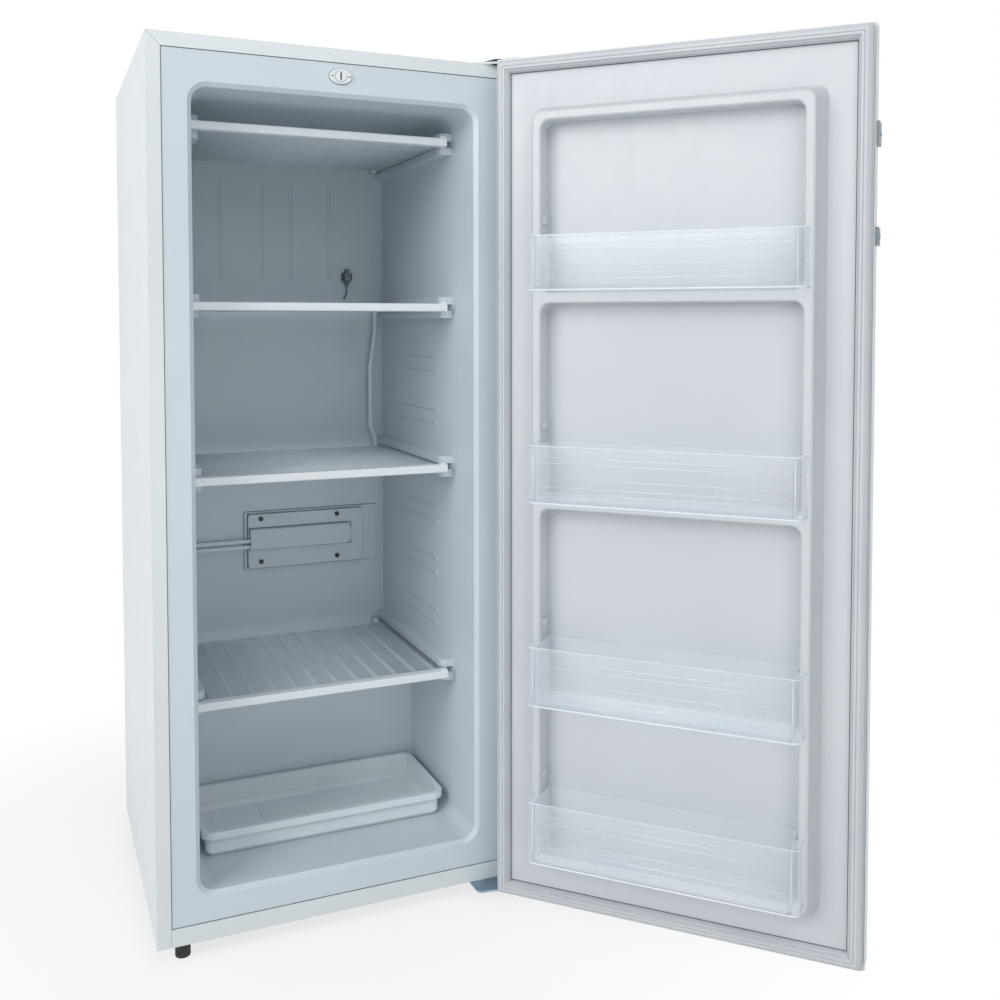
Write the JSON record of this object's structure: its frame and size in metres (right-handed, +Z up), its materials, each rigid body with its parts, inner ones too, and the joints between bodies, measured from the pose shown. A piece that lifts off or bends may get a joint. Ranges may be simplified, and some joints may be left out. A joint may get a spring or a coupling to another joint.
{
  "type": "upright freezer",
  "caption": "Free-standing upright freezer with a hinged insulated door, fixed evaporator shelves, lift-off door bins and a pull-out bottom tray.",
  "frame": {"origin": "on the floor under the middle of the cabinet's casing, measured without the door", "axes": "+X to the right seen from the front, +Y to the back, +Z up"},
  "size_m": [0.9253, 0.9639, 1.336],
  "materials": {
    "painted_casing": "satin white paint",
    "white_plastic": "satin",
    "liner_plastic": "satin vacuum-formed plastic",
    "grey_plastic": "satin",
    "black_plastic": "matt",
    "black_rubber": "matt",
    "gasket_white": "soft matt",
    "foam": "rigid foam",
    "galvanised_steel": "galvanised",
    "zinc": "blue zinc plate",
    "black_steel": "black paint",
    "compressor_black": "black enamel",
    "copper": "drawn copper",
    "evaporator_white": "white coated",
    "evaporator_wire": "white coated",
    "bulb_metal": "dull metal",
    "pearl_plastic": "pearly white, satin",
    "clear_plastic": "clear"
  },
  "bodies": {
    "cabinet": {"outer_shell": "painted_casing", "back_panel": "painted_casing", "foam_port_plugs": "white_plastic", "bottom_trim": "painted_casing", "bottom_plate": "galvanised_steel", "compressor_base": "black_steel", "cabinet_foam": "foam", "liner": "liner_plastic", "evaporator_links": "evaporator_white", "evaporator_leads": "evaporator_white", "joint_cover_plate": "liner_plastic", "joint_cover": "liner_plastic", "joint_cover_screws": "zinc", "thermostat_bulb": "bulb_metal", "bulb_clip": "grey_plastic", "thermostat_bezel": "white_plastic", "thermostat_body": "grey_plastic", "compressor": "compressor_black", "compressor_grommets": "black_rubber", "compressor_bolts": "zinc", "relay_box": "black_plastic", "filter_drier": "copper", "refrigerant_lines": "copper", "condenser_tube": "copper", "lower_hinge_bracket": "zinc", "upper_hinge_bracket": "zinc", "hinge_screws": "zinc", "hinge_cover": "black_plastic", "foot_nuts": "zinc", "roller_axles": "zinc", "evaporator_tube_1": "evaporator_white", "evaporator_wires_1": "evaporator_wire", "evaporator_trim_1": "white_plastic", "evaporator_tube_2": "evaporator_white", "evaporator_wires_2": "evaporator_wire", "evaporator_trim_2": "white_plastic", "evaporator_tube_3": "evaporator_white", "evaporator_wires_3": "evaporator_wire", "evaporator_trim_3": "white_plastic", "evaporator_tube_4": "evaporator_white", "evaporator_wires_4": "evaporator_wire", "evaporator_trim_4": "white_plastic"},
    "door": {"door_outer_panel": "painted_casing", "door_foam": "foam", "door_liner": "liner_plastic", "door_gasket": "gasket_white", "door_end_caps": "white_plastic", "hinge_bushes": "white_plastic", "door_handle": "grey_plastic", "handle_screws": "zinc"},
    "thermostat_dial": {"thermostat_dial": "white_plastic"},
    "levelling_foot_left": {"levelling_foot_left": "black_plastic"},
    "levelling_foot_right": {"levelling_foot_right": "black_plastic"},
    "rear_roller_left": {"rear_roller_left": "black_plastic"},
    "rear_roller_right": {"rear_roller_right": "black_plastic"},
    "bottom_tray": {"bottom_tray": "pearl_plastic"},
    "door_bin_1": {"door_bin_1": "clear_plastic"},
    "door_bin_2": {"door_bin_2": "clear_plastic"},
    "door_bin_3": {"door_bin_3": "clear_plastic"},
    "door_bin_4": {"door_bin_4": "clear_plastic"}
  },
  "joints": [
    {"name": "door_hinge", "type": "hinge", "parent": "cabinet", "child": "door", "pos_m": [0.26, -0.296, 0], "axis": [0, 0, 1], "range_deg": [-133, 7]},
    {"name": "tray_slide", "type": "slide", "parent": "cabinet", "child": "bottom_tray", "axis": [0, -1, 0], "range_m": [0, 0.26]},
    {"name": "thermostat_turn", "type": "hinge", "parent": "cabinet", "child": "thermostat_dial", "pos_m": [0, -0.256, 1.28], "axis": [0, 1, 0], "range_deg": [0, 300]},
    {"name": "foot_left_turn", "type": "hinge", "parent": "cabinet", "child": "levelling_foot_left", "pos_m": [-0.237, -0.234, 0], "axis": [0, 0, 1], "continuous": true},
    {"name": "foot_right_turn", "type": "hinge", "parent": "cabinet", "child": "levelling_foot_right", "pos_m": [0.237, -0.234, 0], "axis": [0, 0, 1], "continuous": true},
    {"name": "roller_left_spin", "type": "hinge", "parent": "cabinet", "child": "rear_roller_left", "pos_m": [-0.222, 0.224, 0.013], "axis": [1, 0, 0], "continuous": true},
    {"name": "roller_right_spin", "type": "hinge", "parent": "cabinet", "child": "rear_roller_right", "pos_m": [0.222, 0.224, 0.013], "axis": [1, 0, 0], "continuous": true},
    {"name": "bin_1_lift", "type": "slide", "parent": "door", "child": "door_bin_1", "axis": [0, 0, 1], "range_m": [0, 0.018]},
    {"name": "bin_2_lift", "type": "slide", "parent": "door", "child": "door_bin_2", "axis": [0, 0, 1], "range_m": [0, 0.018]},
    {"name": "bin_3_lift", "type": "slide", "parent": "door", "child": "door_bin_3", "axis": [0, 0, 1], "range_m": [0, 0.018]},
    {"name": "bin_4_lift", "type": "slide", "parent": "door", "child": "door_bin_4", "axis": [0, 0, 1], "range_m": [0, 0.018]}
  ]
}
